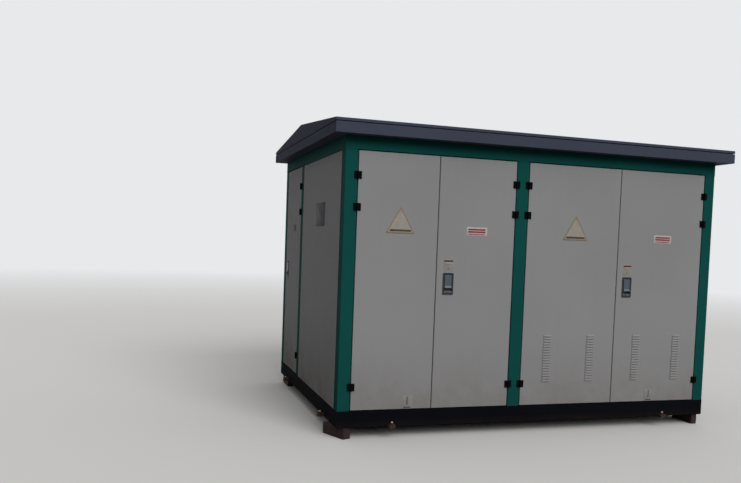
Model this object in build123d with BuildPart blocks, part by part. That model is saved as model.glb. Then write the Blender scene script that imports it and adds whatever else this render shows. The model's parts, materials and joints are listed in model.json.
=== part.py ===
# Compact substation: a sheet-steel housing on a channel base, with a low gable roof.
# Millimetres. The origin is on the ground, below the middle of the housing.
# X runs along the long front (right is +X), Y runs to the rear, Z is up.
from build123d import *

import os
from math import atan2, cos, pi, sin, sqrt

os.makedirs("parts", exist_ok=True)

# Housing, over the outer faces of the posts
body_length = 3377
body_depth = 2370
opening_height = 2000

# Posts and bays
corner_post = 100
middle_post = 105
front_left_bay = 1342
mullion = 91
end_door_bay = 691
right_end_bays = 3

# Folded sheet that the posts, headers and roof are made of
sheet = 3
inner_bend = 2
stop_lip = 20
seal_gap = 5

# Base
base_height = 130
base_flange = 65
base_sheet = 6
cross_member_width = 50
cross_member_places = (-1080, -199, 720)
deck_thickness = 4
stop_bar_height = 25

# Timber packers under the corners
packer_height = 90
packer_width = 56
packer_length = 258
packer_inset = 51
packer_setback = 25
loose_packer_width = 70
loose_packer_inset = 38
loose_packer_setback = 132
loose_packer_turn = 24.8

# Hold-down lugs on the base
lug_width = 50
lug_thickness = 22
lug_reach = 52
lug_hole_radius = 9
lug_hole_reach = 28
long_side_lug_inset = 440
end_lug_inset = 425

# Header, soffit and fascia
header_height = 104
header_return = 60
roof_overhang = 107
fascia_height = 80
fascia_return = 16
vent_gap = 5

# Roof cover
eave_height = 23
ridge_rise = 116
ridge_trim = 20

# Door leaves and fixed panels
leaf_thickness = 45
leaf_gap = 7
meeting_gap = 8
right_meeting_shift = 11
panel_gap = 4
skin_edge = 2
inner_field_depth = 6
inner_field_border = 70
lock_rail = 160
lock_height = 997

# Hinges, as heights above the foot of the opening
hinge_heights = (186, 1567, 1808)
hinge_height = 58
hinge_reach = 30
hinge_plate = 4
barrel_radius = 8
barrel_sides = 12
barrel_standoff = 10
barrel_relief = 1.5
pin_radius = 4
pin_clearance = 0.3

# Swing handles
handle_inset = 98
handle_width = 90
handle_height = 172
handle_corner = 8
handle_rim = 8
handle_flange = 5
handle_well = 18
handle_shell = 3
lever_length = 98
lever_thickness = 6
lever_clearance = 5
lever_lip_height = 18
lever_lip_flare = 5
lever_pin_radius = 3
lever_pin_set = 1
key_block_height = 20
key_block_recess = 2.5
key_radius = 7
key_reach = 5

# Louvres pressed in columns near the foot of the right-hand leaves
louvre_count = 18
louvre_pitch = 22
louvre_width = 82
louvre_foot = 200
louvre_column_offset = 205
louvre_column_shift = 4
louvre_margin = 12
louvre_sheet = 2
louvre_rise = 15
louvre_reach = 8
louvre_taper = 9
louvre_flats = 3

# Levels
base_foot = packer_height
sill = base_foot + base_height
header_foot = sill + opening_height
header_top = header_foot + header_height
fascia_top = header_top + fascia_height
eave_foot = fascia_top + vent_gap
eave_top = eave_foot + eave_height

# Depth of the rebate that a leaf closes into
rebate = leaf_thickness + seal_gap

half_length = body_length / 2
half_depth = body_depth / 2
roof_half_length = half_length + roof_overhang
roof_half_depth = half_depth + roof_overhang

# Each wall has a plane seen from outside: x to the right, y up, z outwards
up = Vector(0, 0, 1)
front_wall = Plane(origin=(0, -half_depth, 0), x_dir=(1, 0, 0), z_dir=(0, -1, 0))
right_wall = Plane(origin=(half_length, 0, 0), x_dir=(0, 1, 0), z_dir=(1, 0, 0))
rear_wall = Plane(origin=(0, half_depth, 0), x_dir=(-1, 0, 0), z_dir=(0, 1, 0))
left_wall = Plane(origin=(-half_length, 0, 0), x_dir=(0, -1, 0), z_dir=(-1, 0, 0))


def save(piece, name):
    piece.part.label = name
    export_step(piece.part, f"parts/{name}.step")


def plan_of(wall, level, along=0):
    """Level plane on a wall's foot line: x along the wall, y into the housing."""
    return Plane(origin=wall.origin + wall.x_dir * along + up * level, x_dir=wall.x_dir, z_dir=up)


def sheet_face(points, side, thickness=sheet):
    """Section of a folded sheet whose outer skin follows the points.

    Each fold is drawn as the flat that touches its bend radius.
    """
    cut = (thickness + inner_bend) * (2 - sqrt(2))
    corners = [Vector(*point) for point in points]
    skin_points = [corners[0]]
    for before, corner, after in zip(corners, corners[1:], corners[2:]):
        skin_points.append(corner + (before - corner).normalized() * cut)
        skin_points.append(corner + (after - corner).normalized() * cut)
    skin_points.append(corners[-1])
    with BuildLine() as skin:
        Polyline(*skin_points)
        offset(amount=thickness, side=side, kind=Kind.INTERSECTION)
    return make_face(skin.line.edges(), mode=Mode.PRIVATE)


# Bays between the posts of each wall, as seen from outside
def bays_of(half, post, *widths):
    spans = []
    start = corner_post - half
    for width in widths:
        spans.append((start, start + width))
        start += width + post
    spans.append((start, half - corner_post))
    return spans


right_bay = (body_depth - 2 * corner_post - (right_end_bays - 1) * middle_post) / right_end_bays
front_bays = bays_of(half_length, middle_post, front_left_bay)
rear_bays = [(-end, -start) for start, end in reversed(front_bays)]
left_bays = bays_of(half_depth, mullion, end_door_bay)
right_bays = bays_of(half_depth, middle_post, *[right_bay] * (right_end_bays - 1))
sides = {
    "front": (front_wall, half_length, front_bays),
    "rear": (rear_wall, half_length, rear_bays),
    "left": (left_wall, half_depth, left_bays),
    "right": (right_wall, half_depth, right_bays),
}


# Base ring, headers and fascias: one folded section round all four sides, mitred at the corners
def ring_beam(section, wall, reach_along, reach_out):
    """Beam along one wall; the section is drawn inwards from the outer face."""
    inward = wall.z_dir * -1
    start = wall.origin + wall.z_dir * reach_out - wall.x_dir * reach_along
    end = wall.origin + wall.z_dir * reach_out + wall.x_dir * reach_along
    with BuildPart() as beam:
        with BuildSketch(Plane(origin=start, x_dir=inward, z_dir=wall.x_dir)):
            add(section)
        extrude(amount=2 * reach_along)
        split(bisect_by=Plane(origin=start, z_dir=wall.x_dir - inward), keep=Keep.TOP)
        split(bisect_by=Plane(origin=end, z_dir=wall.x_dir * -1 - inward), keep=Keep.TOP)
    return beam


def channel(width, foot, top, thickness=sheet):
    """Section of a channel with its web outside and its flanges turned in."""
    points = [(width, foot), (0, foot), (0, top), (width, top)]
    return sheet_face(points, Side.RIGHT, thickness)


base_section = channel(base_flange, base_foot, sill, base_sheet)
header_section = channel(header_return, header_foot, header_top)
fascia_section = sheet_face(
    [(0, header_top), (0, fascia_top), (fascia_return, fascia_top), (fascia_return, eave_foot)],
    Side.RIGHT,
)
for side_name, (wall, half, spans) in sides.items():
    save(ring_beam(base_section, wall, half, 0), f"base_{side_name}")
    save(ring_beam(header_section, wall, half, 0), f"header_{side_name}")
    save(ring_beam(fascia_section, wall, half + roof_overhang, roof_overhang), f"fascia_{side_name}")

# Corner posts, each placed at the left end of a wall; their lips stop the leaves and panels
lip_end = corner_post + stop_lip
corner_section = sheet_face(
    [
        (lip_end, rebate), (corner_post, rebate), (corner_post, 0), (0, 0),
        (0, corner_post), (rebate, corner_post), (rebate, lip_end),
    ],
    Side.RIGHT,
)
corners = {"front_left": "front", "rear_right": "rear", "rear_left": "left", "front_right": "right"}
for place, side_name in corners.items():
    wall, half, spans = sides[side_name]
    with BuildPart() as post:
        with BuildSketch(plan_of(wall, sill, -half)):
            add(corner_section)
        extrude(amount=opening_height)
    save(post, f"post_{place}")


def middle_section(width):
    side = width / 2
    return sheet_face(
        [
            (-side - stop_lip, rebate), (-side, rebate), (-side, 0),
            (side, 0), (side, rebate), (side + stop_lip, rebate),
        ],
        Side.LEFT,
    )


for side_name, (wall, half, spans) in sides.items():
    for number, (before, after) in enumerate(zip(spans, spans[1:]), start=1):
        with BuildPart() as post:
            with BuildSketch(plan_of(wall, sill, (before[1] + after[0]) / 2)):
                add(middle_section(after[0] - before[1]))
            extrude(amount=opening_height)
        save(post, f"post_{side_name}_{'middle' if len(spans) == 2 else number}")

# Flat bars that close the foot and head of each rebate
with BuildPart() as stop_bars:
    for wall, half, spans in sides.values():
        for start, end in spans:
            for level in (sill, header_foot - stop_bar_height):
                with BuildSketch(plan_of(wall, level)):
                    with Locations(((start + end) / 2, rebate + sheet / 2)):
                        Rectangle(end - start - 2 * stop_lip, sheet)
                extrude(amount=stop_bar_height)
save(stop_bars, "rebate_bars")

# Floor deck on the flanges of the base, and the members that carry it
deck_inset = rebate + sheet
with BuildPart() as deck:
    with BuildSketch(Plane.XY.offset(sill)):
        Rectangle(body_length - 2 * deck_inset, body_depth - 2 * deck_inset)
    extrude(amount=deck_thickness)
save(deck, "floor_deck")

member_section = channel(cross_member_width, base_foot, sill, base_sheet)
member_length = body_depth - 2 * base_flange
with BuildPart() as cross_members:
    for place in cross_member_places:
        with BuildSketch(Plane(origin=(place, -member_length / 2, 0), x_dir=(-1, 0, 0), z_dir=(0, 1, 0))):
            add(member_section)
        extrude(amount=member_length)
save(cross_members, "base_cross_members")

# Timber packers: one was pushed in askew, the others lie square under the corners
loose_packer_place = (loose_packer_inset - half_length, loose_packer_setback - half_depth)
with BuildPart() as loose_packer:
    with BuildSketch(Plane.XY):
        with Locations(Location((*loose_packer_place, 0), (0, 0, loose_packer_turn))):
            Rectangle(loose_packer_width, packer_length)
    extrude(amount=packer_height)
save(loose_packer, "packer_front_left")

packer_x = half_length - packer_inset
packer_y = half_depth - packer_setback - packer_length / 2
with BuildPart() as packers:
    with BuildSketch(Plane.XY):
        with Locations((packer_x, -packer_y), (packer_x, packer_y), (-packer_x, packer_y)):
            Rectangle(packer_width, packer_length)
    extrude(amount=packer_height)
save(packers, "packers_square")

# Hold-down lugs: flat ears flush with the foot of the base, drilled for the foundation bolts
lug_insets = {
    "front": long_side_lug_inset, "rear": long_side_lug_inset, "left": end_lug_inset, "right": end_lug_inset,
}
with BuildPart() as lugs:
    for side_name, (wall, half, spans) in sides.items():
        reach = half - lug_insets[side_name]
        with BuildSketch(plan_of(wall, base_foot)):
            with Locations((-reach, -lug_reach / 2), (reach, -lug_reach / 2)):
                Rectangle(lug_width, lug_reach)
            with Locations((-reach, -lug_hole_reach), (reach, -lug_hole_reach)):
                Circle(lug_hole_radius, mode=Mode.SUBTRACT)
        extrude(amount=lug_thickness)
save(lugs, "hold_down_lugs")

# Ceiling plate, which runs out over the walls as the soffit
with BuildPart() as ceiling:
    with BuildSketch(Plane.XY.offset(header_top)):
        Rectangle(2 * (roof_half_length - sheet), 2 * (roof_half_depth - sheet))
    extrude(amount=sheet)
save(ceiling, "ceiling_plate")

# Roof: two folded slopes with a drip lip, cut where they meet at the ridge
slope = ridge_rise / roof_half_depth
over_ridge = roof_half_depth + ridge_trim
drip_return = fascia_return + sheet
slope_section = sheet_face(
    [(drip_return, eave_foot), (0, eave_foot), (0, eave_top), (over_ridge, eave_top + slope * over_ridge)],
    Side.RIGHT,
)
for side_name, wall in (("front", front_wall), ("rear", rear_wall)):
    start = wall.origin + wall.z_dir * roof_overhang - wall.x_dir * roof_half_length
    with BuildPart() as roof_slope:
        with BuildSketch(Plane(origin=start, x_dir=wall.z_dir * -1, z_dir=wall.x_dir)):
            add(slope_section)
        extrude(amount=2 * roof_half_length)
        split(bisect_by=Plane(origin=(0, 0, 0), z_dir=wall.z_dir), keep=Keep.TOP)
    save(roof_slope, f"roof_slope_{side_name}")

# Gable plates under the ends of the slopes, each with its own drip return
gable_inset = sheet + inner_bend
gable_half = roof_half_depth - gable_inset
drip_half = roof_half_depth - drip_return
drip_top = eave_foot + sheet
underside = eave_top - sheet / cos(atan2(ridge_rise, roof_half_depth))
shoulder = underside + slope * gable_inset
for side_name, wall in (("left", left_wall), ("right", right_wall)):
    face = Plane(origin=wall.origin + wall.z_dir * roof_overhang, x_dir=wall.x_dir, z_dir=wall.z_dir)
    with BuildPart() as gable:
        with BuildSketch(face):
            with BuildLine():
                Polyline(
                    (-gable_half, drip_top), (-drip_half, drip_top), (-drip_half, eave_foot),
                    (drip_half, eave_foot), (drip_half, drip_top), (gable_half, drip_top),
                    (gable_half, shoulder), (0, underside + ridge_rise), (-gable_half, shoulder),
                    close=True,
                )
            make_face()
        extrude(amount=-sheet)
        with BuildSketch(face):
            with Locations((0, eave_foot + sheet / 2)):
                Rectangle(2 * drip_half, sheet)
        extrude(amount=-drip_return)
    save(gable, f"gable_{side_name}")


# Leaves and panels share one build: a flush outer skin and an inner skin with pressed fields
def skinned_board(wall, across, heights, thickness):
    width = across[1] - across[0]
    middle = (across[0] + across[1]) / 2
    lock_level = sill + lock_height
    fields = (
        (heights[0] + inner_field_border, lock_level - lock_rail / 2),
        (lock_level + lock_rail / 2, heights[1] - inner_field_border),
    )
    with BuildPart() as board:
        with BuildSketch(wall):
            with Locations((middle, (heights[0] + heights[1]) / 2)):
                Rectangle(width, heights[1] - heights[0])
        extrude(amount=-thickness)
        chamfer(board.faces().sort_by(Axis(wall.origin, wall.z_dir))[-1].edges(), skin_edge)
        with BuildSketch(wall.offset(-thickness)):
            for low, high in fields:
                with Locations((middle, (low + high) / 2)):
                    Rectangle(width - 2 * inner_field_border, high - low)
        extrude(amount=inner_field_depth, mode=Mode.SUBTRACT)
    return board


def fixed_panels(wall, spans, name):
    """Panels as thick as the rebate is deep, clamped against the lips of the posts."""
    heights = (sill, header_foot - panel_gap)
    with BuildPart() as panels:
        for start, end in spans:
            add(skinned_board(wall, (start + panel_gap, end - panel_gap), heights, rebate).part)
    save(panels, name)


rear_panel_spans = []
for start, end in rear_bays:
    meeting = (start + end) / 2
    rear_panel_spans += [(start, meeting), (meeting, end)]
fixed_panels(left_wall, left_bays[1:], "panel_left")
fixed_panels(right_wall, right_bays, "panels_right")
fixed_panels(rear_wall, rear_panel_spans, "panels_rear")


# Hinges: three knuckles, the outer two on the post with the pin, the middle one on the leaf
def hinge_half(wall, axis_along, turn, level, moving):
    low, high = level - hinge_height / 2, level + hinge_height / 2
    quarter = hinge_height / 4
    relief = barrel_radius + barrel_relief
    if moving:
        side = turn
        knuckles = [(level - quarter + pin_clearance, level + quarter - pin_clearance)]
    else:
        side = -turn
        knuckles = [(low, level - quarter), (level + quarter, high)]
    with BuildPart() as half:
        with BuildSketch(plan_of(wall, low)):
            with Locations((axis_along + side * (relief + hinge_reach) / 2, -hinge_plate / 2)):
                Rectangle(hinge_reach - relief, hinge_plate)
        extrude(amount=hinge_height)
        for start, end in knuckles:
            with BuildSketch(plan_of(wall, start)):
                with Locations((axis_along + side * relief / 2, -hinge_plate / 2)):
                    Rectangle(relief, hinge_plate)
                with Locations((axis_along, -barrel_standoff)):
                    RegularPolygon(barrel_radius, barrel_sides)
                    if moving:
                        RegularPolygon(
                            pin_radius + pin_clearance, barrel_sides, major_radius=False, mode=Mode.SUBTRACT
                        )
            extrude(amount=end - start)
        if not moving:
            with BuildSketch(plan_of(wall, level - quarter)):
                with Locations((axis_along, -barrel_standoff)):
                    RegularPolygon(pin_radius, barrel_sides)
            extrude(amount=2 * quarter)
    return half


# Swing handle: a flanged well let into the leaf, a lever hung on a pin, and a key block below it
well_width = handle_width - 2 * handle_rim - 2 * handle_shell
well_height = handle_height - 2 * handle_rim - 2 * handle_shell
lever_width = well_width - 2 * lever_clearance
lever_hub_radius = 2 * lever_pin_radius
lever_pin_out = handle_flange - lever_thickness - lever_pin_set


def lever_plane(wall, along, level, width):
    """Plane across the well at the lever's pin: x out of the wall, y down, z along the wall."""
    pin_level = level + well_height / 2 - lever_clearance - lever_hub_radius
    start = wall.origin + wall.x_dir * (along - width / 2) + wall.z_dir * lever_pin_out + up * pin_level
    return Plane(origin=start, x_dir=wall.z_dir, z_dir=wall.x_dir)


def handle_housing(wall, along, level):
    key_level = level - well_height / 2 + key_block_height / 2
    with BuildPart() as housing:
        with BuildSketch(wall):
            with Locations((along, level)):
                RectangleRounded(handle_width, handle_height, handle_corner)
        extrude(amount=handle_flange)
        with BuildSketch(wall):
            with Locations((along, level)):
                Rectangle(well_width + 2 * handle_shell, well_height + 2 * handle_shell)
        extrude(amount=-handle_well - handle_shell)
        with BuildSketch(wall.offset(handle_flange)):
            with Locations((along, level)):
                Rectangle(well_width, well_height)
        extrude(amount=-handle_flange - handle_well, mode=Mode.SUBTRACT)
        with BuildSketch(wall.offset(-handle_well)):
            with Locations((along, key_level)):
                Rectangle(well_width, key_block_height)
        extrude(amount=handle_well + handle_flange - key_block_recess)
        with BuildSketch(wall.offset(handle_flange - key_block_recess)):
            with Locations((along, key_level)):
                Circle(key_radius)
        extrude(amount=key_reach)
        with BuildSketch(lever_plane(wall, along, level, well_width)):
            RegularPolygon(lever_pin_radius, barrel_sides)
        extrude(amount=well_width)
    return housing


def handle_lever(wall, along, level):
    face = lever_pin_set + lever_thickness
    with BuildPart() as lever:
        with BuildSketch(lever_plane(wall, along, level, lever_width)):
            RegularPolygon(lever_hub_radius, barrel_sides)
            with BuildLine():
                Polyline(
                    (lever_pin_set, 0), (face, 0), (face, lever_length - lever_lip_height),
                    (face + lever_lip_flare, lever_length), (lever_pin_set, lever_length), close=True,
                )
            make_face()
            RegularPolygon(
                lever_pin_radius + pin_clearance, barrel_sides, major_radius=False, mode=Mode.SUBTRACT
            )
        extrude(amount=lever_width)
    return lever


# Louvres: a pressed plate whose hoods open downwards; each hood is drawn from its side
louvre_plate_width = louvre_width + 2 * louvre_margin
louvre_plate_height = (louvre_count - 1) * louvre_pitch + louvre_rise + 2 * louvre_margin
louvre_level = sill + louvre_foot + louvre_plate_height / 2 - louvre_margin


def hood_form(rise, reach, width, back):
    """Crown in flats round a quarter ellipse, from the sheet out to the lip, with slanting ends."""
    foot = -louvre_rise / 2
    turns = [step * pi / 2 / louvre_flats for step in range(1, louvre_flats + 1)]
    crown = [(foot + rise * cos(turn), reach * sin(turn)) for turn in turns]
    with BuildPart() as form:
        with BuildSketch(Plane.YZ):
            with BuildLine():
                Polyline((foot, -back), (foot + rise, -back), *crown, close=True)
            make_face()
        extrude(amount=width / 2, both=True)
        with BuildSketch(Plane.XZ):
            with BuildLine():
                Polyline(
                    (-width / 2, -back), (width / 2, -back),
                    (width / 2 - louvre_taper, reach), (louvre_taper - width / 2, reach), close=True,
                )
            make_face()
        extrude(amount=louvre_rise, both=True, mode=Mode.INTERSECT)
    return form


def louvre_plates(wall, columns):
    hood = hood_form(louvre_rise, louvre_reach, louvre_width, 0)
    hollow = hood_form(
        louvre_rise - louvre_sheet, louvre_reach - louvre_sheet, louvre_width - 2 * louvre_sheet, louvre_sheet
    )
    with BuildPart() as flat:
        with BuildSketch():
            with Locations(*columns):
                Rectangle(louvre_plate_width, louvre_plate_height)
        extrude(amount=-louvre_sheet)
        with Locations(*columns):
            with GridLocations(0, louvre_pitch, 1, louvre_count):
                add(hood.part)
                add(hollow.part, mode=Mode.SUBTRACT)
    with BuildPart() as plates:
        add(wall.from_local_coords(flat.part))
    return plates


# The five doors: wall, bay, side of the bay that holds the hinges, middle of the gap on the
# leaf's free side, and what the leaf carries
left_meeting = sum(front_bays[0]) / 2
right_meeting = sum(front_bays[1]) / 2 + right_meeting_shift
end_meeting = left_bays[0][0] + meeting_gap / 2
doors = {
    "left_outer": (front_wall, front_bays[0], "left", left_meeting, ""),
    "left_inner": (front_wall, front_bays[0], "right", left_meeting, "handle"),
    "right_inner": (front_wall, front_bays[1], "left", right_meeting, "louvres"),
    "right_outer": (front_wall, front_bays[1], "right", right_meeting, "handle louvres"),
    "end": (left_wall, left_bays[0], "right", end_meeting, "handle"),
}
with BuildPart() as hinge_brackets:
    for wall, (start, end), hung, meeting, fittings in doors.values():
        turn = 1 if hung == "left" else -1
        edge = start if hung == "left" else end
        for height in hinge_heights:
            add(hinge_half(wall, edge + turn * leaf_gap / 2, turn, sill + height, False).part)
save(hinge_brackets, "hinge_brackets")

for name, (wall, (start, end), hung, meeting, fittings) in doors.items():
    turn = 1 if hung == "left" else -1
    edge = start if hung == "left" else end
    axis_along = edge + turn * leaf_gap / 2
    hung_edge = edge + turn * leaf_gap
    free_edge = meeting - turn * meeting_gap / 2
    across = (min(hung_edge, free_edge), max(hung_edge, free_edge))
    middle = (across[0] + across[1]) / 2 + louvre_column_shift
    board = skinned_board(wall, across, (sill + leaf_gap, header_foot - leaf_gap), leaf_thickness)
    handle_place = (free_edge - turn * handle_inset, sill + lock_height)
    columns = [(middle + side * louvre_column_offset, louvre_level) for side in (-1, 1)]
    with BuildPart() as leaf:
        add(board.part)
        if "handle" in fittings:
            with BuildSketch(wall):
                with Locations(handle_place):
                    Rectangle(well_width + 2 * handle_shell, well_height + 2 * handle_shell)
            extrude(amount=-handle_well - handle_shell, mode=Mode.SUBTRACT)
        if "louvres" in fittings:
            with BuildSketch(wall):
                with Locations(*columns):
                    Rectangle(louvre_plate_width, louvre_plate_height)
            extrude(amount=-leaf_thickness, mode=Mode.SUBTRACT)
    save(leaf, f"leaf_{name}")
    if "handle" in fittings:
        save(handle_housing(wall, *handle_place), f"handle_housing_{name}")
        save(handle_lever(wall, *handle_place), f"handle_lever_{name}")
        pin = lever_plane(wall, *handle_place, 0).origin
        print(f"door {name}: lever pin at {pin.X:.1f}, {pin.Y:.1f}, {pin.Z:.1f}")
    if "louvres" in fittings:
        save(louvre_plates(wall, columns), f"louvres_{name}")
    with BuildPart() as hinge_leaves:
        for height in hinge_heights:
            add(hinge_half(wall, axis_along, turn, sill + height, True).part)
    save(hinge_leaves, f"hinges_{name}")
    axis = plan_of(wall, 0).from_local_coords((axis_along, -barrel_standoff))
    print(f"door {name}: hinge axis at {axis.X:.1f}, {axis.Y:.1f}")
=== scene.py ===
import json
from math import pi, radians

import bmesh
import bpy
from mathutils import Matrix, Vector, noise


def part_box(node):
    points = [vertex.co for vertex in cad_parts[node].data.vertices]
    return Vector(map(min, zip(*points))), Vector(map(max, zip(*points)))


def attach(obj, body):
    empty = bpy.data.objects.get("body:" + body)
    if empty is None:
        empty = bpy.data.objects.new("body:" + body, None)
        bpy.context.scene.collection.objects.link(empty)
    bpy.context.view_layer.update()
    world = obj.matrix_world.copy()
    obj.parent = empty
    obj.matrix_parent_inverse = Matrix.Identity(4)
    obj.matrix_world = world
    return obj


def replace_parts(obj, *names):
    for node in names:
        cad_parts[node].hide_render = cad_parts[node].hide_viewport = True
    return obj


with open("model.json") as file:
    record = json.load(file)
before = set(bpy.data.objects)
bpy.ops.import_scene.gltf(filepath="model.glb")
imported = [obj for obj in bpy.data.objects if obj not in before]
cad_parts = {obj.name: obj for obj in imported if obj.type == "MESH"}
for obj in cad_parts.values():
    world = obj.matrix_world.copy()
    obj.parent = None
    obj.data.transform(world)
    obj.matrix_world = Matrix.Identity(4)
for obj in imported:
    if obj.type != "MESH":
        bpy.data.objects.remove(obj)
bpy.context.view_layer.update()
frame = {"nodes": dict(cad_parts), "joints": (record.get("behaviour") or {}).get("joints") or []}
cadNodes = frame["nodes"]
print("frame loaded,", len(cadNodes), "nodes")

# Camera: the photo's standpoint, in metres and degrees
viewpoint = {
    "place": (-3.1325, -6.628, 1.5295),
    "turn": -17.11,
    "tilt": -2.82,
    "roll": 2.12,
    "lens": 36.18,
    "shiftUp": 0.0493,
}


def addCamera():
    lens = bpy.data.cameras.new("camera")
    lens.lens = viewpoint["lens"]
    lens.shift_y = viewpoint["shiftUp"]
    camera = bpy.data.objects.new("camera", lens)
    camera.matrix_world = (
        Matrix.Translation(viewpoint["place"])
        @ Matrix.Rotation(radians(viewpoint["turn"]), 4, "Z")
        @ Matrix.Rotation(radians(90 + viewpoint["tilt"]), 4, "X")
        @ Matrix.Rotation(radians(viewpoint["roll"]), 4, "Z")
    )
    bpy.context.scene.collection.objects.link(camera)
    bpy.context.scene.camera = camera


addCamera()
bpy.context.scene.view_settings.view_transform = "Standard"
print("camera ready")


# Colours are written as the eye reads them, 0 to 255
def colour(red, green, blue):
    def toLinear(value):
        value /= 255
        return value / 12.92 if value <= 0.04045 else ((value + 0.055) / 1.055) ** 2.4
    return (toLinear(red), toLinear(green), toLinear(blue), 1)


def shaded(tone, share):
    return (tone[0] * share, tone[1] * share, tone[2] * share, 1)


# A node with its sockets linked or set, and its own settings by name
def addNode(tree, kind, inputs=None, **settings):
    node = tree.nodes.new("ShaderNode" + kind)
    for name, value in settings.items():
        setattr(node, name, value)
    for key, value in (inputs or {}).items():
        if isinstance(value, bpy.types.NodeSocket):
            tree.links.new(value, node.inputs[key])
        else:
            node.inputs[key].default_value = value
    return node


def startMaterial(name, roughness=0.5, metallic=0.0, gloss=0.3):
    material = bpy.data.materials.new(name)
    material.use_nodes = True
    tree = material.node_tree
    shader = tree.nodes["Principled BSDF"]
    shader.inputs["Roughness"].default_value = roughness
    shader.inputs["Metallic"].default_value = metallic
    shader.inputs["Specular IOR Level"].default_value = gloss
    point = addNode(tree, "TexCoord").outputs["Object"]
    return material, tree, shader, point


# Noise whose patches are about this many metres across
def patches(tree, point, patch, detail=3.0, rough=0.5):
    size = patch if isinstance(patch, tuple) else (patch, patch, patch)
    placed = addNode(tree, "Mapping", {"Vector": point, "Scale": [1 / length for length in size]})
    grain = addNode(tree, "TexNoise", {
        "Vector": placed.outputs[0], "Scale": 1.0, "Detail": detail, "Roughness": rough,
    })
    return grain.outputs[0]


def remap(tree, value, fromLow, fromHigh, toLow=0.0, toHigh=1.0):
    node = addNode(tree, "MapRange", {
        "Value": value, "From Min": fromLow, "From Max": fromHigh,
        "To Min": toLow, "To Max": toHigh,
    })
    return node.outputs[0]


def times(tree, first, second):
    return addNode(tree, "Math", {0: first, 1: second}, operation="MULTIPLY").outputs[0]


def mixColour(tree, share, first, second):
    node = addNode(tree, "Mix", {0: share, 6: first, 7: second}, data_type="RGBA")
    return node.outputs[2]


# Layers of bump, each a height and its depth in metres
def addBump(tree, shader, layers):
    normal = None
    for height, depth in layers:
        inputs = {"Height": height, "Distance": depth, "Strength": 1.0}
        if normal:
            inputs["Normal"] = normal
        normal = addNode(tree, "Bump", inputs).outputs[0]
    tree.links.new(normal, shader.inputs["Normal"])


# What all the paints share. A patch is a width in metres, and a range is the noise where the patch
# starts to show and where it shows in full
paint = {
    "shadePatch": 0.9, "shadeRange": (0.35, 0.65),
    "streakPatch": (0.035, 0.035, 0.8), "streakRange": (0.52, 0.74),
    "wetPatch": 0.5, "wetRange": (0.42, 0.62),
    "dustPatch": 0.22, "dustRange": (0.15, 0.8), "dustRougher": 0.3,
    "wornPatch": 0.06, "wornRange": (0.3, 0.7), "smoother": 0.05, "rougher": 0.07,
    "peelPatch": 0.0035,
}


# Sprayed paint on sheet steel: uneven shade, rain streaks, dust near the ground, orange peel
def paintedSteel(name, look):
    material, tree, shader, point = startMaterial(name, look["roughness"], 0.0, look["gloss"])
    uneven = remap(tree, patches(tree, point, paint["shadePatch"]), *paint["shadeRange"])
    darker = shaded(look["tone"], 1 - look["uneven"])
    lighter = shaded(look["tone"], 1 + look["uneven"])
    tone = mixColour(tree, uneven, darker, lighter)
    streak = patches(tree, point, paint["streakPatch"], detail=5.0, rough=0.6)
    rain = remap(tree, streak, *paint["streakRange"])
    wet = remap(tree, patches(tree, point, paint["wetPatch"]), *paint["wetRange"])
    rain = times(tree, times(tree, rain, wet), look["streaks"])
    tone = mixColour(tree, rain, tone, look["streakTone"])
    height = addNode(tree, "SeparateXYZ", {0: point}).outputs[2]
    low = remap(tree, height, look["dustTop"], look["dustFoot"])
    dusty = patches(tree, point, paint["dustPatch"], detail=6.0, rough=0.65)
    dust = times(tree, times(tree, low, low), remap(tree, dusty, *paint["dustRange"]))
    tone = mixColour(tree, times(tree, dust, look["dust"]), tone, look["dustTone"])
    tree.links.new(tone, shader.inputs["Base Color"])
    worn = patches(tree, point, paint["wornPatch"], detail=4.0)
    smooth = look["roughness"] - paint["smoother"]
    rough = look["roughness"] + paint["rougher"]
    spread = remap(tree, worn, *paint["wornRange"], smooth, rough)
    rougher = addNode(
        tree, "Math", {0: dust, 1: paint["dustRougher"], 2: spread}, operation="MULTIPLY_ADD"
    )
    tree.links.new(rougher.outputs[0], shader.inputs["Roughness"])
    addBump(tree, shader, [
        (patches(tree, point, look["waveSize"], detail=1.0), look["wave"]),
        (patches(tree, point, paint["peelPatch"], detail=2.0), look["peel"]),
    ])
    return material


dustTone = colour(118, 110, 100)
panelGrey = paintedSteel("panelGrey", {
    "tone": colour(145, 145, 146), "uneven": 0.03, "roughness": 0.52, "gloss": 0.03,
    "streaks": 0.08, "streakTone": colour(116, 113, 108),
    "dust": 0.75, "dustTone": colour(116, 107, 100), "dustTop": 1.0, "dustFoot": 0.22,
    "waveSize": 0.4, "wave": 0.0035, "peel": 0.00006,
})
frameGreen = paintedSteel("frameGreen", {
    "tone": colour(20, 77, 73), "uneven": 0.07, "roughness": 0.48, "gloss": 0.004,
    "streaks": 0.10, "streakTone": colour(48, 84, 80),
    "dust": 0.5, "dustTone": colour(20, 58, 54), "dustTop": 1.0, "dustFoot": 0.22,
    "waveSize": 0.5, "wave": 0.001, "peel": 0.00006,
})
roofSlate = paintedSteel("roofSlate", {
    "tone": colour(70, 75, 90), "uneven": 0.06, "roughness": 0.55, "gloss": 0.006,
    "streaks": 0.25, "streakTone": colour(84, 86, 94),
    "dust": 0.0, "dustTone": dustTone, "dustTop": 1.0, "dustFoot": 0.5,
    "waveSize": 0.6, "wave": 0.003, "peel": 0.00006,
})
baseBlack = paintedSteel("baseBlack", {
    "tone": colour(16, 17, 21), "uneven": 0.1, "roughness": 0.55, "gloss": 0.004,
    "streaks": 0.12, "streakTone": colour(40, 38, 38),
    "dust": 0.45, "dustTone": colour(62, 46, 40), "dustTop": 0.17, "dustFoot": 0.07,
    "waveSize": 0.3, "wave": 0.001, "peel": 0.0001,
})
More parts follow.
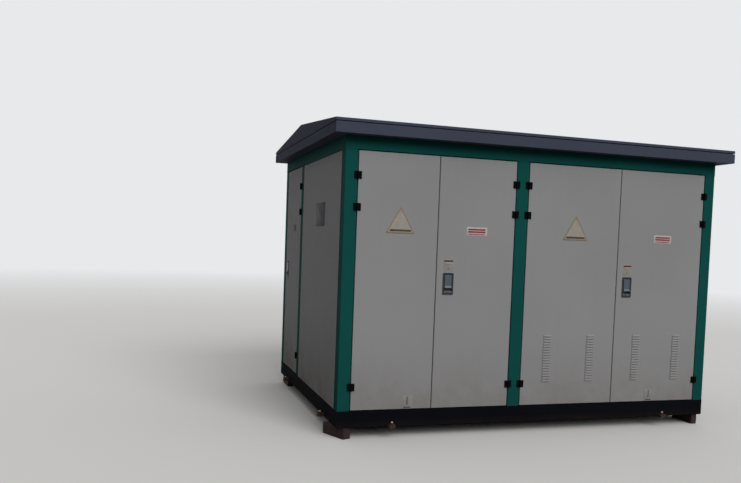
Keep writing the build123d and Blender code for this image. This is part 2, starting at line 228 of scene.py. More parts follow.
hingeBlack = paintedSteel("hingeBlack", {
    "tone": colour(12, 12, 14), "uneven": 0.08, "roughness": 0.5, "gloss": 0.012,
    "streaks": 0.08, "streakTone": colour(40, 40, 40),
    "dust": 0.06, "dustTone": dustTone, "dustTop": 0.6, "dustFoot": 0.2,
    "waveSize": 0.2, "wave": 0.0, "peel": 0.0002,
})
handleBlack = paintedSteel("handleBlack", {
    "tone": colour(44, 49, 54), "uneven": 0.06, "roughness": 0.42, "gloss": 0.25,
    "streaks": 0.06, "streakTone": colour(70, 72, 74),
    "dust": 0.0, "dustTone": dustTone, "dustTop": 1.0, "dustFoot": 0.5,
    "waveSize": 0.2, "wave": 0.0, "peel": 0.00008,
})
leverGrey = paintedSteel("leverGrey", {
    "tone": colour(77, 86, 95), "uneven": 0.04, "roughness": 0.38, "gloss": 0.3,
    "streaks": 0.05, "streakTone": colour(104, 106, 108),
    "dust": 0.0, "dustTone": dustTone, "dustTop": 1.0, "dustFoot": 0.5,
    "waveSize": 0.2, "wave": 0.0, "peel": 0.00004,
})
floorSteel = paintedSteel("floorSteel", {
    "tone": colour(86, 88, 90), "uneven": 0.12, "roughness": 0.55, "gloss": 0.25,
    "streaks": 0.3, "streakTone": colour(120, 116, 108),
    "dust": 0.5, "dustTone": dustTone, "dustTop": 0.6, "dustFoot": 0.2,
    "waveSize": 0.5, "wave": 0.002, "peel": 0.0001,
})


# Bare steel rusted all over: brown scale with darker flecks and a pitted face
def rustedSteel(name, look):
    material, tree, shader, point = startMaterial(name, look["roughness"], look["metallic"])
    scale = patches(tree, point, look["scalePatch"], detail=6.0, rough=0.7)
    tone = mixColour(tree, remap(tree, scale, *look["scaleRange"]), look["deep"], look["bright"])
    flecks = remap(tree, patches(tree, point, look["fleckPatch"], detail=4.0), *look["fleckRange"])
    tone = mixColour(tree, flecks, tone, look["fleck"])
    tree.links.new(tone, shader.inputs["Base Color"])
    pits = patches(tree, point, look["pitPatch"], detail=5.0, rough=0.7)
    addBump(tree, shader, [(pits, look["pitDepth"])])
    return material


lugRust = rustedSteel("lugRust", {
    "deep": colour(38, 28, 27), "bright": colour(80, 55, 46), "fleck": colour(56, 50, 48),
    "roughness": 0.82, "metallic": 0.25,
    "scalePatch": 0.012, "scaleRange": (0.35, 0.65),
    "fleckPatch": 0.004, "fleckRange": (0.58, 0.68),
    "pitPatch": 0.005, "pitDepth": 0.0012,
})


# What the bare metals share
metalWear = {
    "cloudPatch": 0.03, "cloudRange": (0.35, 0.68), "cloudShade": 0.86,
    "brushRange": (0.3, 0.7), "smoother": 0.08, "rougher": 0.1,
}


# Bare or dulled metal with a brushed grain and darker clouds
def bareMetal(name, look):
    material, tree, shader, point = startMaterial(
        name, look["roughness"], look["metallic"], look["gloss"]
    )
    brushed = patches(tree, point, look["brush"], detail=3.0, rough=0.6)
    cloud = patches(tree, point, metalWear["cloudPatch"], detail=4.0)
    darker = shaded(look["tone"], metalWear["cloudShade"])
    tone = mixColour(tree, remap(tree, cloud, *metalWear["cloudRange"]), darker, look["tone"])
    tree.links.new(tone, shader.inputs["Base Color"])
    smooth = look["roughness"] - metalWear["smoother"]
    rough = look["roughness"] + metalWear["rougher"]
    spread = remap(tree, brushed, *metalWear["brushRange"], smooth, rough)
    tree.links.new(spread, shader.inputs["Roughness"])
    addBump(tree, shader, [(brushed, look["grooves"])])
    return material


plateMetal = bareMetal("plateMetal", {
    "tone": colour(158, 152, 142), "metallic": 0.1, "roughness": 0.5, "gloss": 0.2,
    "brush": (0.03, 0.03, 0.0006), "grooves": 0.00004,
})
plateRim = bareMetal("plateRim", {
    "tone": colour(142, 126, 102), "metallic": 0.1, "roughness": 0.55, "gloss": 0.2,
    "brush": (0.006, 0.006, 0.006), "grooves": 0.00005,
})
plateDull = bareMetal("plateDull", {
    "tone": colour(88, 91, 95), "metallic": 0.0, "roughness": 0.5, "gloss": 0.04,
    "brush": (0.03, 0.03, 0.0006), "grooves": 0.00003,
})
zincPale = bareMetal("zincPale", {
    "tone": colour(188, 176, 166), "metallic": 0.4, "roughness": 0.42, "gloss": 0.3,
    "brush": (0.004, 0.004, 0.004), "grooves": 0.0001,
})

soil = {"patch": 0.05, "range": (0.4, 0.75), "shade": 0.82}  # on enamel, plastic, print and rubber


# Enamel, plastic, print or rubber, lightly soiled, with a fine grain
def moulded(name, tone, roughness, gloss=0.3, grain=0.002, depth=0.00005):
    material, tree, shader, point = startMaterial(name, roughness, 0.0, gloss)
    soiled = remap(tree, patches(tree, point, soil["patch"], detail=5.0, rough=0.6), *soil["range"])
    mixed = mixColour(tree, soiled, tone, shaded(tone, soil["shade"]))
    tree.links.new(mixed, shader.inputs["Base Color"])
    addBump(tree, shader, [(patches(tree, point, grain, detail=2.0), depth)])
    return material


enamelWhite = moulded("enamelWhite", colour(188, 178, 176), 0.42)
# White enamel darkened to brown as painted shade, for the name plate on the end
enamelPaintedShade = moulded("enamelPaintedShade", colour(128, 118, 112), 0.5, gloss=0.04)
stickerPale = moulded("stickerPale", colour(151, 149, 143), 0.45, gloss=0.1)
stickerDull = moulded("stickerDull", colour(142, 140, 136), 0.5, gloss=0.05)
printRed = moulded("printRed", colour(134, 42, 56), 0.5)
# Red print darkened to brown as painted shade, for the name plate on the end
printRedPaintedShade = moulded("printRedPaintedShade", colour(92, 68, 66), 0.5, gloss=0.04)
printDarkRed = moulded("printDarkRed", colour(84, 22, 36), 0.5, gloss=0.05)
printGrey = moulded("printGrey", colour(124, 124, 118), 0.5)
printBlack = moulded("printBlack", colour(66, 61, 56), 0.55)
# Pale grey for the band on the lever's foot: a painted highlight
gripPaintedHighlight = moulded("gripPaintedHighlight", colour(108, 114, 126), 0.45)
trimGrey = moulded("trimGrey", colour(112, 112, 110), 0.55)
coverGrey = moulded("coverGrey", colour(92, 94, 102), 0.45)
sealRubber = moulded("sealRubber", colour(30, 30, 31), 0.7, gloss=0.05, grain=0.003, depth=0.0002)

# Stained sawn timber: fibres along the packer, and damp spots
timber = {
    "dark": colour(30, 20, 22), "pale": colour(66, 46, 46), "damp": colour(24, 18, 19),
    "roughness": 0.85,
    "fibrePatch": (0.006, 0.12, 0.006), "fibreRange": (0.32, 0.68), "fibreDepth": 0.0016,
    "dampPatch": 0.06, "dampRange": (0.45, 0.62), "dampShare": 0.5,
    "nickPatch": 0.002, "nickDepth": 0.0003,
}


# The turn is the packer's own about the upright, in degrees
def sawnTimber(name, turn):
    look = timber
    material, tree, shader, point = startMaterial(name, look["roughness"])
    turned = addNode(tree, "Mapping", {"Vector": point, "Rotation": (0, 0, -radians(turn))})
    along = turned.outputs[0]
    fibre = patches(tree, along, look["fibrePatch"], detail=6.0, rough=0.65)
    tone = mixColour(tree, remap(tree, fibre, *look["fibreRange"]), look["dark"], look["pale"])
    damp = remap(tree, patches(tree, along, look["dampPatch"], detail=3.0), *look["dampRange"])
    tone = mixColour(tree, times(tree, damp, look["dampShare"]), tone, look["damp"])
    tree.links.new(tone, shader.inputs["Base Color"])
    nicks = patches(tree, along, look["nickPatch"], detail=2.0)
    addBump(tree, shader, [(fibre, look["fibreDepth"]), (nicks, look["nickDepth"])])
    return material


# The frame's nodes by finish, from how their names start
finishes = {
    frameGreen: ("post_", "header_", "rebate_bars"),
    panelGrey: ("panel", "leaf_", "louvres_"),
    roofSlate: ("fascia_", "roof_", "gable_", "ceiling"),
    baseBlack: ("base_",),
    hingeBlack: ("hinge",),
    handleBlack: ("handle_housing",),
    leverGrey: ("handle_lever",),
    lugRust: ("hold_down_lugs",),
    floorSteel: ("floor_deck",),
}
for material, starts in finishes.items():
    for name, node in cadNodes.items():
        if name.startswith(starts):
            for slot in node.material_slots:
                slot.material = material
print("finishes on the frame's nodes")


# Shapes are drawn flat, x to the right, y up and z out of the wall, then placed on their wall
def wallPlace(right, outward, face):
    up = Vector((0, 0, 1))
    place = Matrix((right, up, outward)).transposed().to_4x4()
    place.translation = outward * face
    return place


# Which way is right on each wall, seen from outside, and which way is out
wallWays = {
    "front": (Vector((1, 0, 0)), Vector((0, -1, 0))),
    "rear": (Vector((-1, 0, 0)), Vector((0, 1, 0))),
    "left": (Vector((0, -1, 0)), Vector((-1, 0, 0))),
    "right": (Vector((0, 1, 0)), Vector((1, 0, 0))),
}
wallFaces = {
    side: wallPlace(right, outward, max(corner.dot(outward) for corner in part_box(f"base_{side}")))
    for side, (right, outward) in wallWays.items()
}
frontFace = wallFaces["front"]
leftFace = wallFaces["left"]


# Where a node starts and ends along a wall, seen from outside
def spanOn(side, node):
    ends = [corner.dot(wallWays[side][0]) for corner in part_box(node)]
    return min(ends), max(ends)


def placed(shape, place):
    bmesh.ops.transform(shape, matrix=place, verts=shape.verts)
    return shape


def moved(shape, x, y, z):
    return placed(shape, Matrix.Translation((x, y, z)))


def tinted(shape, index):
    for face in shape.faces:
        face.material_index = index
    return shape


def rounded(shape, edges, offset):
    bmesh.ops.bevel(
        shape, geom=edges, offset=offset, segments=2, affect="EDGES", profile=0.5, material=-1
    )


def roundCorners(shape, offset, segments):
    bmesh.ops.bevel(
        shape, geom=shape.verts[:], offset=offset, segments=segments,
        affect="VERTICES", profile=0.5, material=-1,
    )


broadShare = 8  # a face this many times larger than all that border it is shaded flat
sharpAngle = 35  # degrees from which an edge stays sharp


def isBroad(face):
    near = [other for edge in face.edges for other in edge.link_faces if other is not face]
    return face.calc_area() > broadShare * max((other.calc_area() for other in near), default=0)


# One piece from several shapes, on the body that carries it
def makePiece(name, shapes, materials, body):
    whole = bmesh.new()
    for shape in shapes:
        mesh = bpy.data.meshes.new("part")
        shape.to_mesh(mesh)
        shape.free()
        whole.from_mesh(mesh)
        bpy.data.meshes.remove(mesh)
    bmesh.ops.recalc_face_normals(whole, faces=whole.faces)
    for face in whole.faces:
        face.smooth = not isBroad(face)
    mesh = bpy.data.meshes.new(name)
    whole.to_mesh(mesh)
    whole.free()
    for material in materials:
        mesh.materials.append(material)
    mesh.set_sharp_from_angle(angle=radians(sharpAngle))
    piece = bpy.data.objects.new(name, mesh)
    bpy.context.scene.collection.objects.link(piece)
    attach(piece, body)
    return piece


# The same for shapes drawn round a spot on a wall
def hangPiece(name, shapes, wall, spot, materials, body):
    place = wall @ Matrix.Translation(spot)
    makePiece(name, [placed(shape, place) for shape in shapes], materials, body)


def flatShape(width, height):
    shape = bmesh.new()
    bmesh.ops.create_grid(shape, x_segments=1, y_segments=1, size=0.5)
    bmesh.ops.scale(shape, vec=(width, height, 1), verts=shape.verts)
    return shape


def blockShape(size):
    shape = bmesh.new()
    bmesh.ops.create_cube(shape, size=1)
    bmesh.ops.scale(shape, vec=size, verts=shape.verts)
    return shape


def rodShape(sides, foot, tip, length):
    shape = bmesh.new()
    bmesh.ops.create_cone(
        shape, cap_ends=True, segments=sides, radius1=foot, radius2=tip, depth=length
    )
    return shape


# A flat outline raised from the wall, with a softened front edge
def raiseFront(shape, thickness, edge):
    raised = bmesh.ops.extrude_face_region(shape, geom=shape.faces[:])
    front = [item for item in raised["geom"] if isinstance(item, bmesh.types.BMVert)]
    bmesh.ops.translate(shape, vec=(0, 0, thickness), verts=front)
    rim = [e for e in shape.edges if all(v in front for v in e.verts)]
    rounded(shape, rim, edge)


# Flat plate with round corners, its back on the wall
def plateShape(width, height, thickness, corner, edge=0.0003):
    shape = flatShape(width, height)
    roundCorners(shape, corner, 4)
    raiseFront(shape, thickness, edge)
    return shape


# Open frame of one band width
def frameShape(width, height, band, thickness, edge):
    shape = flatShape(width, height)
    inner = shape.faces[:]
    bmesh.ops.inset_individual(shape, faces=inner, thickness=band)
    bmesh.ops.delete(shape, geom=inner, context="FACES_ONLY")
    raiseFront(shape, thickness, edge)
    return shape


# The foremost face, or the largest of them
def frontOf(shape):
    def rank(face):
        return round(face.calc_center_median().z, 6), face.calc_area()
    return max(shape.faces, key=rank)


# Round-headed screw with a socket, its seat at z 0; all but the sides are shares of its own size
screwHead = {"sides": 14, "tip": 0.92, "round": 0.35, "rim": 0.18, "wall": 0.04, "socket": 0.4}


def screwShape(radius, height):
    look = screwHead
    shape = moved(rodShape(look["sides"], radius, radius * look["tip"], height), 0, 0, height / 2)
    rounded(shape, list(frontOf(shape).edges), radius * look["round"])
    front = frontOf(shape)
    bmesh.ops.inset_individual(shape, faces=[front], thickness=radius * look["rim"])
    bmesh.ops.inset_individual(
        shape, faces=[front], thickness=radius * look["wall"], depth=-height * look["socket"]
    )
    return shape


# Three-sided metal plates, blank: a tan rim round a brushed field, a dark band and three rivets
trianglePlate = {
    "side": 0.240, "foot": 1.600, "thickness": 0.0025, "corner": 0.012, "edge": 0.0004,
    "rim": 0.009, "rimSlope": 0.001, "rimRise": 0.0008,
    "band": (0.172, 0.016, 0.0006, 0.003, 0.0002),  # width, height, thickness, corner, edge
    "bandRise": 0.022, "bandSink": 0.0009,
    "rivet": (0.004, 0.0018),  # radius, height
    "rivetInset": 0.036, "rivetSink": 0.001,
    "middles": {"left_outer": -1.2305, "right_inner": 0.3145},
}


def addTrianglePlates():
    look = trianglePlate
    radius = look["side"] / 3 ** 0.5
    for door, middle in look["middles"].items():
        shape = bmesh.new()
        bmesh.ops.create_circle(shape, cap_ends=True, segments=3, radius=radius)
        roundCorners(shape, look["corner"], 5)
        raiseFront(shape, look["thickness"], look["edge"])
        tinted(shape, 1)
        field = frontOf(shape)
        bmesh.ops.inset_individual(shape, faces=[field], thickness=look["rim"])
        bmesh.ops.inset_individual(
            shape, faces=[field], thickness=look["rimSlope"], depth=-look["rimRise"]
        )
        field.material_index = 0
        band = tinted(plateShape(*look["band"]), 2)
        moved(band, 0, look["bandRise"] - radius / 2, look["thickness"] - look["bandSink"])
        shapes = [shape, band]
        for corner in range(3):
            rivet = tinted(screwShape(*look["rivet"]), 1)
            turn = Matrix.Rotation(radians(90 + 120 * corner), 4, "Z")
            spot = turn @ Vector((radius - look["rivetInset"], 0, 0))
            shapes.append(moved(rivet, spot.x, spot.y, look["thickness"] - look["rivetSink"]))
        spot = (middle, look["foot"] + radius / 2, 0)
        materials = [plateMetal, plateRim, printBlack]
        hangPiece(f"triangle_plate_{door}", shapes, frontFace, spot, materials, f"door_{door}")


# Plain bars in place of print
printedBar = {"thickness": 0.0004, "corner": 0.0012, "edge": 0.0001, "sink": 0.0001}


# Each bar comes as its width and height, and how far above the middle it lies
def barShapes(bars, level, index):
    look = printedBar
    made = []
    for (width, height), rise in bars:
        bar = plateShape(width, height, look["thickness"], look["corner"], look["edge"])
        made.append(moved(tinted(bar, index), 0, rise, level - look["sink"]))
    return made


# Enamelled name plates with plain bars: white and red on the front; on the end the same white and
# red, darkened to brown as painted shade
namePlate = {
    "size": (0.180, 0.068), "thickness": 0.0015, "corner": 0.009,
    "bars": [((0.150, 0.013), 0.016), ((0.150, 0.013), -0.003), ((0.136, 0.006), -0.022)],
    "places": {
        "left_inner": (frontFace, -0.5845, 1.637, enamelWhite, printRed),
        "right_outer": (frontFace, 1.1775, 1.637, enamelWhite, printRed),
        "end": (leftFace, -0.695, 1.635, enamelPaintedShade, printRedPaintedShade),
    },
}


def addNamePlates():
    look = namePlate
    for door, (wall, middle, level, ground, ink) in look["places"].items():
        shapes = [
            plateShape(*look["size"], look["thickness"], look["corner"]),
            *barShapes(look["bars"], look["thickness"], 1),
        ]
        spot = (middle, level, 0)
        hangPiece(f"name_plate_{door}", shapes, wall, spot, [ground, ink], f"door_{door}")


# Stickers over the handles: pale, a dark red bar along the top, grey bars below
handleSticker = {
    "size": (0.082, 0.092), "foot": 1.317, "thickness": 0.0006, "corner": 0.002, "edge": 0.0001,
    "redBars": [((0.076, 0.012), 0.034)],
    "greyBars": [((0.058, 0.006), 0.006), ((0.014, 0.024), -0.022)],
    "middles": {"left_inner": -0.816, "right_outer": 0.8375},
}


def addHandleStickers():
    look = handleSticker
    for door, middle in look["middles"].items():
        shapes = [
            plateShape(*look["size"], look["thickness"], look["corner"], look["edge"]),
            *barShapes(look["redBars"], look["thickness"], 1),
            *barShapes(look["greyBars"], look["thickness"], 2),
        ]
        spot = (middle, look["foot"] + look["size"][1] / 2, 0)
        materials = [stickerPale, printDarkRed, printGrey]
        hangPiece(f"handle_sticker_{door}", shapes, frontFace, spot, materials, f"door_{door}")


# Small stickers near the foot of the outer leaves, with two plain bars
footSticker = {
    "size": (0.092, 0.103), "thickness": 0.0006, "corner": 0.002, "edge": 0.0001,
    "bars": [((0.009, 0.062), 0.011), ((0.057, 0.009), -0.041)],
    "middles": {"left_outer": (-1.1205, 0.281), "right_outer": (1.1175, 0.281)},
}


def addFootStickers():
    look = footSticker
    for door, (middle, level) in look["middles"].items():
        shapes = [
            plateShape(*look["size"], look["thickness"], look["corner"], look["edge"]),
            *barShapes(look["bars"], look["thickness"], 1),
        ]
        spot = (middle, level, 0)
        materials = [stickerDull, printBlack]
        hangPiece(f"foot_sticker_{door}", shapes, frontFace, spot, materials, f"door_{door}")


# Bare dull grey plate on the left end, held by four screws; its corners are given as y and z
endPlate = {
    "from": (-0.579, 1.642), "to": (-0.262, 1.842), "thickness": 0.002, "corner": 0.006,
    "screw": (0.005, 0.0025),  # radius, height
    "screwInset": 0.014, "screwSink": 0.0002,
}


def addEndPlate():
    look = endPlate
    width = look["to"][0] - look["from"][0]
    height = look["to"][1] - look["from"][1]
    shapes = [plateShape(width, height, look["thickness"], look["corner"])]
    seat = look["thickness"] - look["screwSink"]
    for side in (-1, 1):
        for end in (-1, 1):
            x = side * (width / 2 - look["screwInset"])
            y = end * (height / 2 - look["screwInset"])
            shapes.append(moved(screwShape(*look["screw"]), x, y, seat))
    spot = (-(look["from"][0] + look["to"][0]) / 2, (look["from"][1] + look["to"][1]) / 2, 0)
    hangPiece("end_plate", shapes, leftFace, spot, [plateDull], "housing")


# Screws of the hinges, two through each half of a hinge; the hinges' heights are above the base
hingeScrew = {
    "radius": 0.0038, "height": 0.0022, "reach": 0.0205, "spacing": 0.034, "plate": 0.004,
    "hingeHeights": (0.186, 1.567, 1.808),
}


# Which wall a door is in, and where along it the joint stands
def jointOnWall(joint, door):
    if door == "end":
        return leftFace, -joint["pos_m"][1]
    return frontFace, joint["pos_m"][0]


def addHingeScrews():
    look = hingeScrew
    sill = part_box("base_front")[1].z
    for joint in frame["joints"]:
        if not joint["name"].endswith("_hinge"):
            continue
        body = joint["child"]
        door = body.removeprefix("door_")
        wall, along = jointOnWall(joint, door)
        leafSide = 1 if joint["axis"][2] < 0 else -1
        for half, carrier, side in (("leaf", body, leafSide), ("post", "housing", -leafSide)):
            shapes = []
            for height in look["hingeHeights"]:
                for end in (-1, 1):
                    x = along + side * look["reach"]
                    y = sill + height + end * look["spacing"] / 2
                    screw = screwShape(look["radius"], look["height"])
                    shapes.append(placed(screw, wall @ Matrix.Translation((x, y, look["plate"]))))
            makePiece(f"hinge_screws_{door}_{half}", shapes, [hingeBlack], carrier)


# Foundation bolts in the hold-down lugs: washers, rusted nuts and pale thread ends
lugBolt = {
    "acrossFlats": 0.024, "head": 0.013, "washer": 0.015, "washerThickness": 0.003,
    "shank": 0.008, "above": 0.008, "below": 0.030, "edge": 0.0012,
    "fromEnd": 0.024, "alongSide": 1.2485, "alongEnd": 0.760,
    "turnStep": 0.7,  # radians from one bolt to the next
}


def isLevel(edge):
    return abs(edge.verts[0].co.z - edge.verts[1].co.z) < 1e-6


def boltShape(turn):
    look = lugBolt
    nutFoot = look["washerThickness"]
    nutTop = nutFoot + look["head"]
    rods = [  # sides, radius, foot, top, tint
        (24, look["washer"], 0, nutFoot, 0),
        (6, look["acrossFlats"] / 3 ** 0.5, nutFoot, nutTop, 0),
        (18, look["shank"], -look["below"], nutTop + look["above"], 1),
    ]
    shapes = []
    for sides, radius, foot, top, tint in rods:
        rod = rodShape(sides, radius, radius, top - foot)
        rounded(rod, [e for e in rod.edges if isLevel(e)], look["edge"])
        placed(rod, Matrix.Translation((0, 0, (foot + top) / 2)) @ Matrix.Rotation(turn, 4, "Z"))
        shapes.append(tinted(rod, tint))
    return shapes


def addLugBolts():
    look = lugBolt
    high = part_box("hold_down_lugs")[1]
    corners = [(x, y) for x in (-1, 1) for y in (-1, 1)]
    spots = [(x * look["alongSide"], y * (high.y - look["fromEnd"])) for x, y in corners]
    spots += [(x * (high.x - look["fromEnd"]), y * look["alongEnd"]) for x, y in corners]
    shapes = [
        moved(shape, x, y, high.z)
        for count, (x, y) in enumerate(spots)
        for shape in boltShape(look["turnStep"] * count)
    ]
    makePiece("lug_bolts", shapes, [lugRust, zincPale], "housing")


# Timber packers under the corners, sawn and knocked about, and a little narrower at head and foot
packer = {
    "loose": (0.070, 0.258), "square": (0.056, 0.258), "turn": 24.8, "edge": 0.004,
    "cuts": 9, "cutFrom": 0.03, "rough": 0.0022, "grain": 28, "taper": (0.02, 0.004),
    "seed": 5, "looseShift": 3.0, "squareShift": 7.0,  # which noise, and where each reads it
}


def packerShape(size, centre, turn, shift):
    look = packer
    shape = blockShape(size)
    rounded(shape, shape.edges[:], look["edge"])
    longEdges = [e for e in shape.edges if e.calc_length() > look["cutFrom"]]
    bmesh.ops.subdivide_edges(shape, edges=longEdges, cuts=look["cuts"], use_grid_fill=True)
    taperX, taperY = look["taper"]
    for vert in shape.verts:
        spot = vert.co * look["grain"] + Vector((shift, 0, 0))
        wobble = noise.noise_vector(spot) * look["rough"]
        level = vert.co.z / (size[2] / 2)
        taper = Vector((vert.co.x * taperX, vert.co.y * taperY, 0)) * abs(level)
        vert.co += Vector((wobble.x, wobble.y, 0)) - taper
    return placed(shape, Matrix.Translation(centre) @ Matrix.Rotation(radians(turn), 4, "Z"))


def addPackers():
    look = packer
    noise.seed_set(look["seed"])  # without it the wobble follows the clock
    timberTurned = sawnTimber("timberTurned", look["turn"])
    timberSquare = sawnTimber("timberSquare", 0)
    low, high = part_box("packer_front_left")
    middle = ((low.x + high.x) / 2, (low.y + high.y) / 2, high.z / 2)
    shape = packerShape((*look["loose"], high.z), middle, look["turn"], look["looseShift"])
    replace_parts(makePiece("packer_loose", [shape], [timberTurned], "housing"), "packer_front_left")
    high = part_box("packers_square")[1]
    width, length = look["square"]
    x, y = high.x - width / 2, high.y - length / 2
    shapes = []
    for count, (xSign, ySign) in enumerate([(1, -1), (1, 1), (-1, 1)]):
        middle = (xSign * x, ySign * y, high.z / 2)
        shift = look["squareShift"] * count
        shapes.append(packerShape((width, length, high.z), middle, 0, shift))
    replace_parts(makePiece("packers_corner", shapes, [timberSquare], "housing"), "packers_square")


# Rubber seals on the lips that the leaves close against
seal = {
    "margin": 0.005, "band": 0.011, "height": 0.0042, "edge": 0.0014,
    "lip": 0.020, "lipDepth": 0.050,
    "openings": {
        "left": ("front", "post_front_left", "post_front_middle"),
        "right": ("front", "post_front_middle", "post_front_right"),
        "end": ("left", "post_rear_left", "post_left_middle"),
    },
}


def addSeals():
    look = seal
    reach = look["lip"] - look["margin"]
    for name, (side, before, after) in look["openings"].items():
        start, end = spanOn(side, before)[1] - reach, spanOn(side, after)[0] + reach
        foot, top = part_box(before)[0].z + look["margin"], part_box(before)[1].z - look["margin"]
        shape = frameShape(end - start, top - foot, look["band"], look["height"], look["edge"])
        spot = ((start + end) / 2, (foot + top) / 2, -look["lipDepth"])
        hangPiece(f"door_seal_{name}", [shape], wallFaces[side], spot, [sealRubber], "housing")


# Flat bars inside, over the joints of the rear panels
jointStrip = {
    "width": 0.050, "thickness": 0.003, "corner": 0.002, "panelDepth": 0.050, "clear": 0.024,
    "posts": ("post_rear_left", "post_rear_middle", "post_rear_right"),
}


def addJointStrips():
    look = jointStrip
    spans = sorted(spanOn("rear", name) for name in look["posts"])
    foot, top = [corner.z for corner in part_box("post_rear_middle")]
    length = top - foot - 2 * look["clear"]
    faceIn = Matrix.Rotation(pi, 4, "Y")
    shapes = []
    for before, after in zip(spans, spans[1:]):
        strip = plateShape(look["width"], length, look["thickness"], look["corner"])
        middle = (before[1] + after[0]) / 2
        spot = Matrix.Translation((middle, (foot + top) / 2, -look["panelDepth"]))
        shapes.append(placed(strip, wallFaces["rear"] @ spot @ faceIn))
    makePiece("joint_strips_rear", shapes, [panelGrey], "housing")


# Rubber edge trims on the free edges of the handle leaves, which narrow the gap to the other leaf
edgeTrim = {
    "width": 0.003, "depth": 0.018, "setBack": 0.0012, "edge": 0.0008, "sink": 0.0002,
    "leaves": ("left_inner", "right_outer"),
}


def addEdgeTrims():
    look = edgeTrim
    for door in look["leaves"]:
        low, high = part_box(f"leaf_{door}")
        shape = blockShape((look["width"], high.z - low.z, look["depth"]))
        rounded(shape, shape.edges[:], look["edge"])
        edge = low.x - (look["width"] / 2 - look["sink"])
        spot = (edge, (low.z + high.z) / 2, -look["setBack"] - look["depth"] / 2)
        hangPiece(f"edge_trim_{door}", [shape], frontFace, spot, [trimGrey], f"door_{door}")


# Weld beads where the posts stand on the base and run under the header, clear of the stop lips
weld = {
    "radius": 0.0024, "sides": 8, "sink": 0.0010, "step": 0.005, "swell": 0.3,
    "near": 0.001,  # how close to a face or a corner still counts as at it
    "row": 0.5, "shift": 0.37,  # where in the noise each bead reads
}


def beadShape(length, shift):
    look = weld
    shape = rodShape(look["sides"], look["radius"], look["radius"], length)
    along = [e for e in shape.edges if e.calc_length() > length / 2]
    bmesh.ops.subdivide_edges(shape, edges=along, cuts=round(length / look["step"]))
    for vert in shape.verts:
        spot = Vector((shift, look["row"], vert.co.z / look["step"]))
        swell = 1 + look["swell"] * noise.noise(spot)
        vert.co = Vector((vert.co.x * swell, vert.co.y * swell, vert.co.z))
    return placed(shape, Matrix.Rotation(pi / 2, 4, "Y"))


def addWelds():
    look = weld
    beads = {"head": [], "foot": []}
    posts = [name for name in cadNodes if name.startswith("post_")]
    for side in wallWays:
        outward = wallWays[side][1]
        corner = spanOn(side, f"base_{side}")[1]
        face = wallFaces[side].translation.length
        for count, post in enumerate(posts):
            low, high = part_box(post)
            if max(low.dot(outward), high.dot(outward)) < face - look["near"]:
                continue
            start, end = spanOn(side, post)
            start += 0 if start < look["near"] - corner else seal["lip"]
            end -= 0 if end > corner - look["near"] else seal["lip"]
            for place, level in (("foot", low.z), ("head", high.z)):
                bead = beadShape(end - start, count + look["shift"] * len(beads[place]))
                spot = Matrix.Translation(((start + end) / 2, level, -look["sink"]))
                beads[place].append(placed(bead, wallFaces[side] @ spot))
    makePiece("weld_beads_head", beads["head"], [frameGreen], "housing")
    makePiece("weld_beads_foot", beads["foot"], [baseBlack], "housing")


# Cover of the lock cylinder below each lever, and a band on the lever's flared foot, tinted pale as
# a painted highlight
handleTrim = {
    "cover": (0.064, 0.017, 0.0012, 0.003),  # width, height, thickness, corner
    "coverRise": -0.065, "coverOut": 0.0025,
    "cap": 0.0080, "capSides": 24, "capTip": 0.94, "capEdge": 0.0008, "capOut": 0.0085,
    "slot": (0.0016, 0.0080, 0.0004, 0.0006, 0.0001),  # the same and the edge
    "slotSink": 0.0001,
    "grip": (0.053, 0.0155, 0.0018, 0.002, 0.0006),
    "gripDrop": 0.0888, "gripOut": 0.0073, "gripTilt": -15.5,
}


def addHandleTrim():
    look = handleTrim
    for joint in frame["joints"]:
        body = joint["child"]
        if not body.startswith("lever_"):
            continue
        door = body.removeprefix("lever_")
        wall, along = jointOnWall(joint, door)
        low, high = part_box(f"handle_housing_{door}")
        cover = plateShape(*look["cover"])
        depth = look["capOut"] - look["coverOut"]
        cap = rodShape(look["capSides"], look["cap"], look["cap"] * look["capTip"], depth)
        rounded(cap, list(frontOf(cap).edges), look["capEdge"])
        moved(cap, 0, 0, depth / 2)
        slot = moved(tinted(plateShape(*look["slot"]), 1), 0, 0, depth - look["slotSink"])
        spot = (along, (low.z + high.z) / 2 + look["coverRise"], look["coverOut"])
        materials = [coverGrey, hingeBlack]
        hangPiece(f"key_cover_{door}", [cover, cap, slot], wall, spot, materials, f"door_{door}")
        # The band on the lever's foot, its pale tint a painted highlight
        spot = (along, joint["pos_m"][2] - look["gripDrop"], look["gripOut"])
        tilt = Matrix.Rotation(radians(look["gripTilt"]), 4, "X")
        grip = placed(plateShape(*look["grip"]), wall @ Matrix.Translation(spot) @ tilt)
        makePiece(f"lever_grip_highlight_{door}", [grip], [gripPaintedHighlight], body)


addTrianglePlates()
addNamePlates()
addSeals()
addJointStrips()
addEdgeTrims()
addWelds()
print("plates, seals, strips, trims and welds made")
addHandleTrim()
addHandleStickers()
addFootStickers()
addEndPlate()
addHingeScrews()
addLugBolts()
addPackers()
print("handle trim, stickers, end plate, screws, bolts and packers made")

# Plain pale floor, which fades into the background far off
floor = {
    "radius": 60.0, "sides": 64, "tone": colour(214, 213, 211), "bounceTone": colour(92, 89, 86),
    "roughness": 0.9, "fadeFrom": 9.0, "fadeTo": 26.0,
}
background = colour(232, 233, 235)


# 1 where the camera, a gloss or a clear material sees it, and 0 where it only lights
def isSeen(tree):
    def either(first, second):
        return addNode(tree, "Math", {0: first, 1: second}, operation="MAXIMUM").outputs[0]
    rays = addNode(tree, "LightPath").outputs
    mirrored = either(rays["Is Glossy Ray"], rays["Is Transmission Ray"])
    return either(rays["Is Camera Ray"], mirrored)


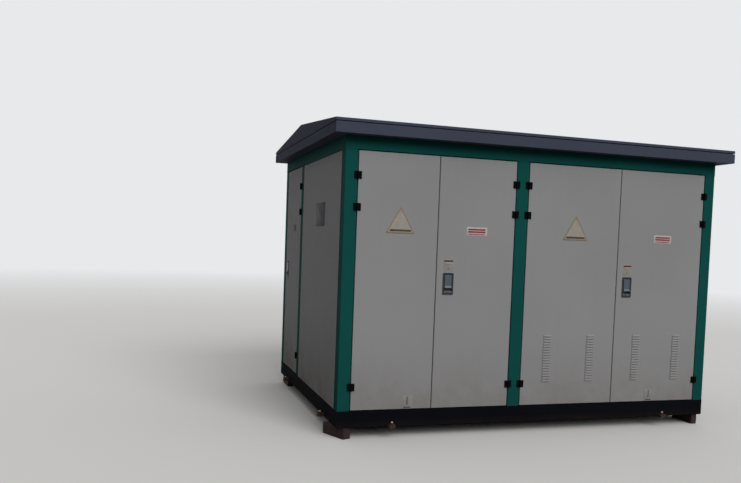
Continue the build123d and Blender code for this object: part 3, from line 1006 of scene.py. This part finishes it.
def addFloor():
    look = floor
    material, tree, shader, point = startMaterial("floorPale", look["roughness"])
    seen = isSeen(tree)
    tone = mixColour(tree, seen, look["bounceTone"], look["tone"])
    tree.links.new(tone, shader.inputs["Base Color"])
    away = addNode(tree, "VectorMath", {0: point}, operation="LENGTH").outputs["Value"]
    fade = times(tree, remap(tree, away, look["fadeFrom"], look["fadeTo"]), seen)
    glow = addNode(tree, "Emission", {"Color": background, "Strength": 1.0})
    blend = addNode(tree, "MixShader", {0: fade, 1: shader.outputs[0], 2: glow.outputs[0]})
    tree.links.new(blend.outputs[0], tree.nodes["Material Output"].inputs["Surface"])
    shape = bmesh.new()
    bmesh.ops.create_circle(shape, cap_ends=True, segments=look["sides"], radius=look["radius"])
    mesh = bpy.data.meshes.new("floor")
    shape.to_mesh(mesh)
    shape.free()
    mesh.materials.append(material)
    ground = bpy.data.objects.new("floor", mesh)
    bpy.context.scene.collection.objects.link(ground)


# Soft light: a sky that is brighter overhead, and one broad far lamp high before the front.
# The lamp's turn, height and spread are in degrees
light = {
    "horizon": 0.14, "zenith": 0.80, "leftShare": 0.55, "leftEnd": -0.75, "rightEnd": 0.15,
    "lampTurn": 14, "lampHeight": 34, "lampSpread": 40, "lampPower": 1.85,
}


def addLights():
    look = light
    world = bpy.data.worlds.new("studio")
    bpy.context.scene.world = world
    world.use_nodes = True
    tree = world.node_tree
    sky = tree.nodes["Background"]
    sky.inputs["Color"].default_value = (1, 1, 1, 1)
    way = addNode(tree, "SeparateXYZ", {0: addNode(tree, "TexCoord").outputs["Generated"]}).outputs
    strength = remap(tree, way[2], 0.0, 1.0, look["horizon"], look["zenith"])
    side = remap(tree, way[0], look["leftEnd"], look["rightEnd"], look["leftShare"], 1.0)
    tree.links.new(times(tree, strength, side), sky.inputs["Strength"])
    behind = addNode(tree, "Background", {"Color": background, "Strength": 1.0})
    blend = addNode(tree, "MixShader", {0: isSeen(tree), 1: sky.outputs[0], 2: behind.outputs[0]})
    tree.links.new(blend.outputs[0], tree.nodes["World Output"].inputs["Surface"])
    lamp = bpy.data.lights.new("lamp", "SUN")
    lamp.angle = radians(look["lampSpread"])
    lamp.energy = look["lampPower"]
    holder = bpy.data.objects.new("lamp", lamp)
    holder.rotation_euler = (radians(90 - look["lampHeight"]), 0, radians(look["lampTurn"]))
    bpy.context.scene.collection.objects.link(holder)


addFloor()
addLights()
print("floor and lights ready")
